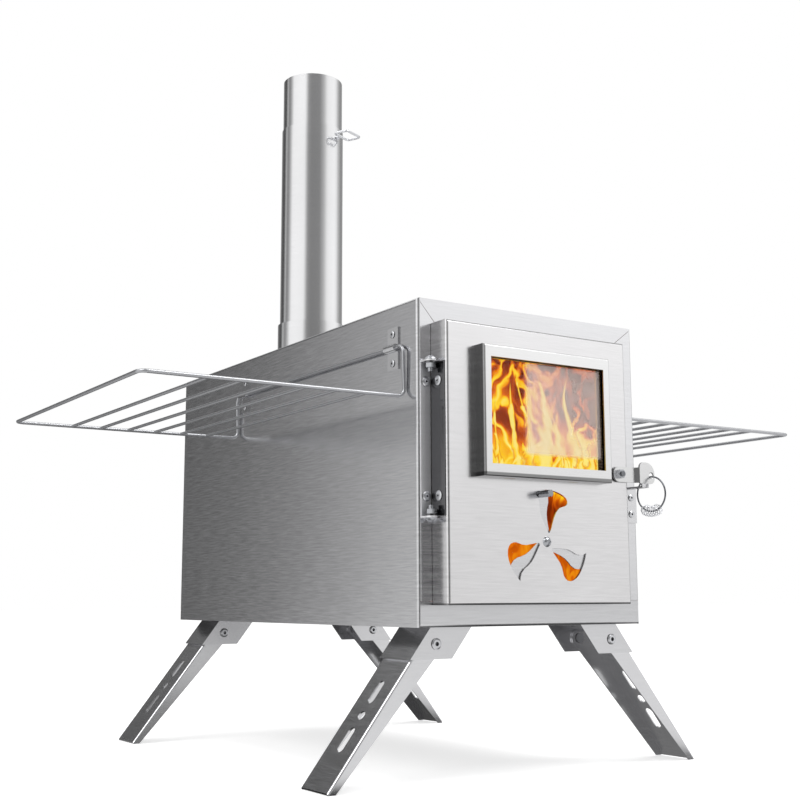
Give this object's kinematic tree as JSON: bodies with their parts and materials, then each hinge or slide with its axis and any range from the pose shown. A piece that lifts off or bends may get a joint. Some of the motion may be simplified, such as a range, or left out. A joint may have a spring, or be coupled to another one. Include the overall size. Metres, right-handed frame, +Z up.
{
  "type": "tent wood stove",
  "caption": "Folding sheet-steel tent wood stove: boxy firebox, windowed door with turning air vent and ring latch, fold-out legs, wire side racks and a nesting chimney with a damper.",
  "frame": {"origin": "on the ground under the middle of the whole object's box, all its joints at rest", "axes": "+Z up along the chimney, the door faces -Y, +X to the right as seen from the door"},
  "size_m": [0.7574, 0.566, 0.81],
  "materials": {
    "sheet_steel": "brushed stainless sheet",
    "hardware": "bright zinc-plated screws and rivets",
    "wire": "drawn steel wire",
    "grate": "heat-darkened steel",
    "glass": "clear heat-proof glass",
    "gasket": "woven glass-fibre sealing tape"
  },
  "bodies": {
    "stove_body": {"body_shell": "sheet_steel", "bottom_pan": "sheet_steel", "rear_panel": "sheet_steel", "flue_collar": "sheet_steel", "collar_rivets": "hardware", "fire_grate": "grate", "hinge_body_leaf": "sheet_steel", "hinge_body_rivets": "hardware", "latch_catch": "sheet_steel", "catch_rivets": "hardware", "leg_bracket_fl": "sheet_steel", "leg_bracket_fr": "sheet_steel", "leg_bracket_rl": "sheet_steel", "leg_bracket_rr": "sheet_steel", "leg_rivets": "hardware", "bracket_rivets": "hardware", "rack_brackets": "sheet_steel", "rack_rivets": "hardware"},
    "door": {"door_pan": "sheet_steel", "window_frame": "sheet_steel", "window_glass": "glass", "gasket_front": "gasket", "gasket_rear": "gasket", "vent_screw": "hardware", "vent_washer": "hardware", "vent_nut": "hardware", "hinge_door_leaf": "sheet_steel", "hinge_door_rivets": "hardware", "hinge_screws": "hardware", "hinge_nuts": "hardware", "latch_bolt": "hardware", "latch_spacer": "hardware", "latch_nut": "hardware"},
    "vent_disc": {"vent_rotor": "sheet_steel", "vent_peg": "hardware"},
    "latch": {"latch_lever": "sheet_steel"},
    "pull_ring": {"latch_ring": "wire", "coil_grip": "wire"},
    "leg_front_left": {"leg_fl": "sheet_steel"},
    "leg_front_right": {"leg_fr": "sheet_steel"},
    "leg_rear_left": {"leg_rl": "sheet_steel"},
    "leg_rear_right": {"leg_rr": "sheet_steel"},
    "rack_l": {"rack_left": "wire"},
    "rack_r": {"rack_right": "wire"},
    "chimney_lower": {"pipe_lower": "sheet_steel"},
    "chimney_upper": {"pipe_upper": "sheet_steel"},
    "damper": {"damper_plate": "sheet_steel", "damper_rod": "wire"}
  },
  "joints": [
    {"name": "door_hinge", "type": "hinge", "parent": "stove_body", "child": "door", "pos_m": [-0.1202, -0.24403, 0.29699], "axis": [0, 0, -1], "range_deg": [0, 120]},
    {"name": "vent_turn", "type": "hinge", "parent": "door", "child": "vent_disc", "pos_m": [-0.005, -0.25773, 0.20879], "axis": [0, 1, 0], "range_deg": [0, 37]},
    {"name": "latch_turn", "type": "hinge", "parent": "door", "child": "latch", "pos_m": [0.082, -0.26053, 0.27399], "axis": [0, -1, 0], "range_deg": [-4.5, 60]},
    {"name": "ring_swing", "type": "hinge", "parent": "latch", "child": "pull_ring", "pos_m": [0.1188, -0.26583, 0.27299], "axis": [-0.9903, -0.1392, 0], "range_deg": [-15, 30]},
    {"name": "leg_front_left_fold", "type": "hinge", "parent": "stove_body", "child": "leg_front_left", "pos_m": [-0.1017, -0.19793, 0.11959], "axis": [0, -1, 0], "range_deg": [0, 128]},
    {"name": "leg_front_right_fold", "type": "hinge", "parent": "stove_body", "child": "leg_front_right", "pos_m": [0.1017, -0.19793, 0.11959], "axis": [0, 1, 0], "range_deg": [0, 103]},
    {"name": "leg_rear_left_fold", "type": "hinge", "parent": "stove_body", "child": "leg_rear_left", "pos_m": [-0.1017, 0.24007, 0.11959], "axis": [0, -1, 0], "range_deg": [0, 128]},
    {"name": "leg_rear_right_fold", "type": "hinge", "parent": "stove_body", "child": "leg_rear_right", "pos_m": [0.1017, 0.24007, 0.11959], "axis": [0, 1, 0], "range_deg": [0, 103]},
    {"name": "rack_l_fold", "type": "hinge", "parent": "stove_body", "child": "rack_l", "pos_m": [-0.1314, -0.04503, 0.38299], "axis": [0, 1, 0], "range_deg": [0, 180]},
    {"name": "rack_r_fold", "type": "hinge", "parent": "stove_body", "child": "rack_r", "pos_m": [0.1314, -0.04503, 0.38299], "axis": [0, -1, 0], "range_deg": [0, 168]},
    {"name": "chimney_lift", "type": "slide", "parent": "stove_body", "child": "chimney_lower", "axis": [0, 0, 1], "range_m": [0, 0.08]},
    {"name": "chimney_section_lift", "type": "slide", "parent": "chimney_lower", "child": "chimney_upper", "axis": [0, 0, 1], "range_m": [0, 0.03]},
    {"name": "damper_turn", "type": "hinge", "parent": "chimney_lower", "child": "damper", "pos_m": [0, 0.19727, 0.73049], "axis": [0.3987, -0.9171, 0], "range_deg": [0, 90]}
  ]
}
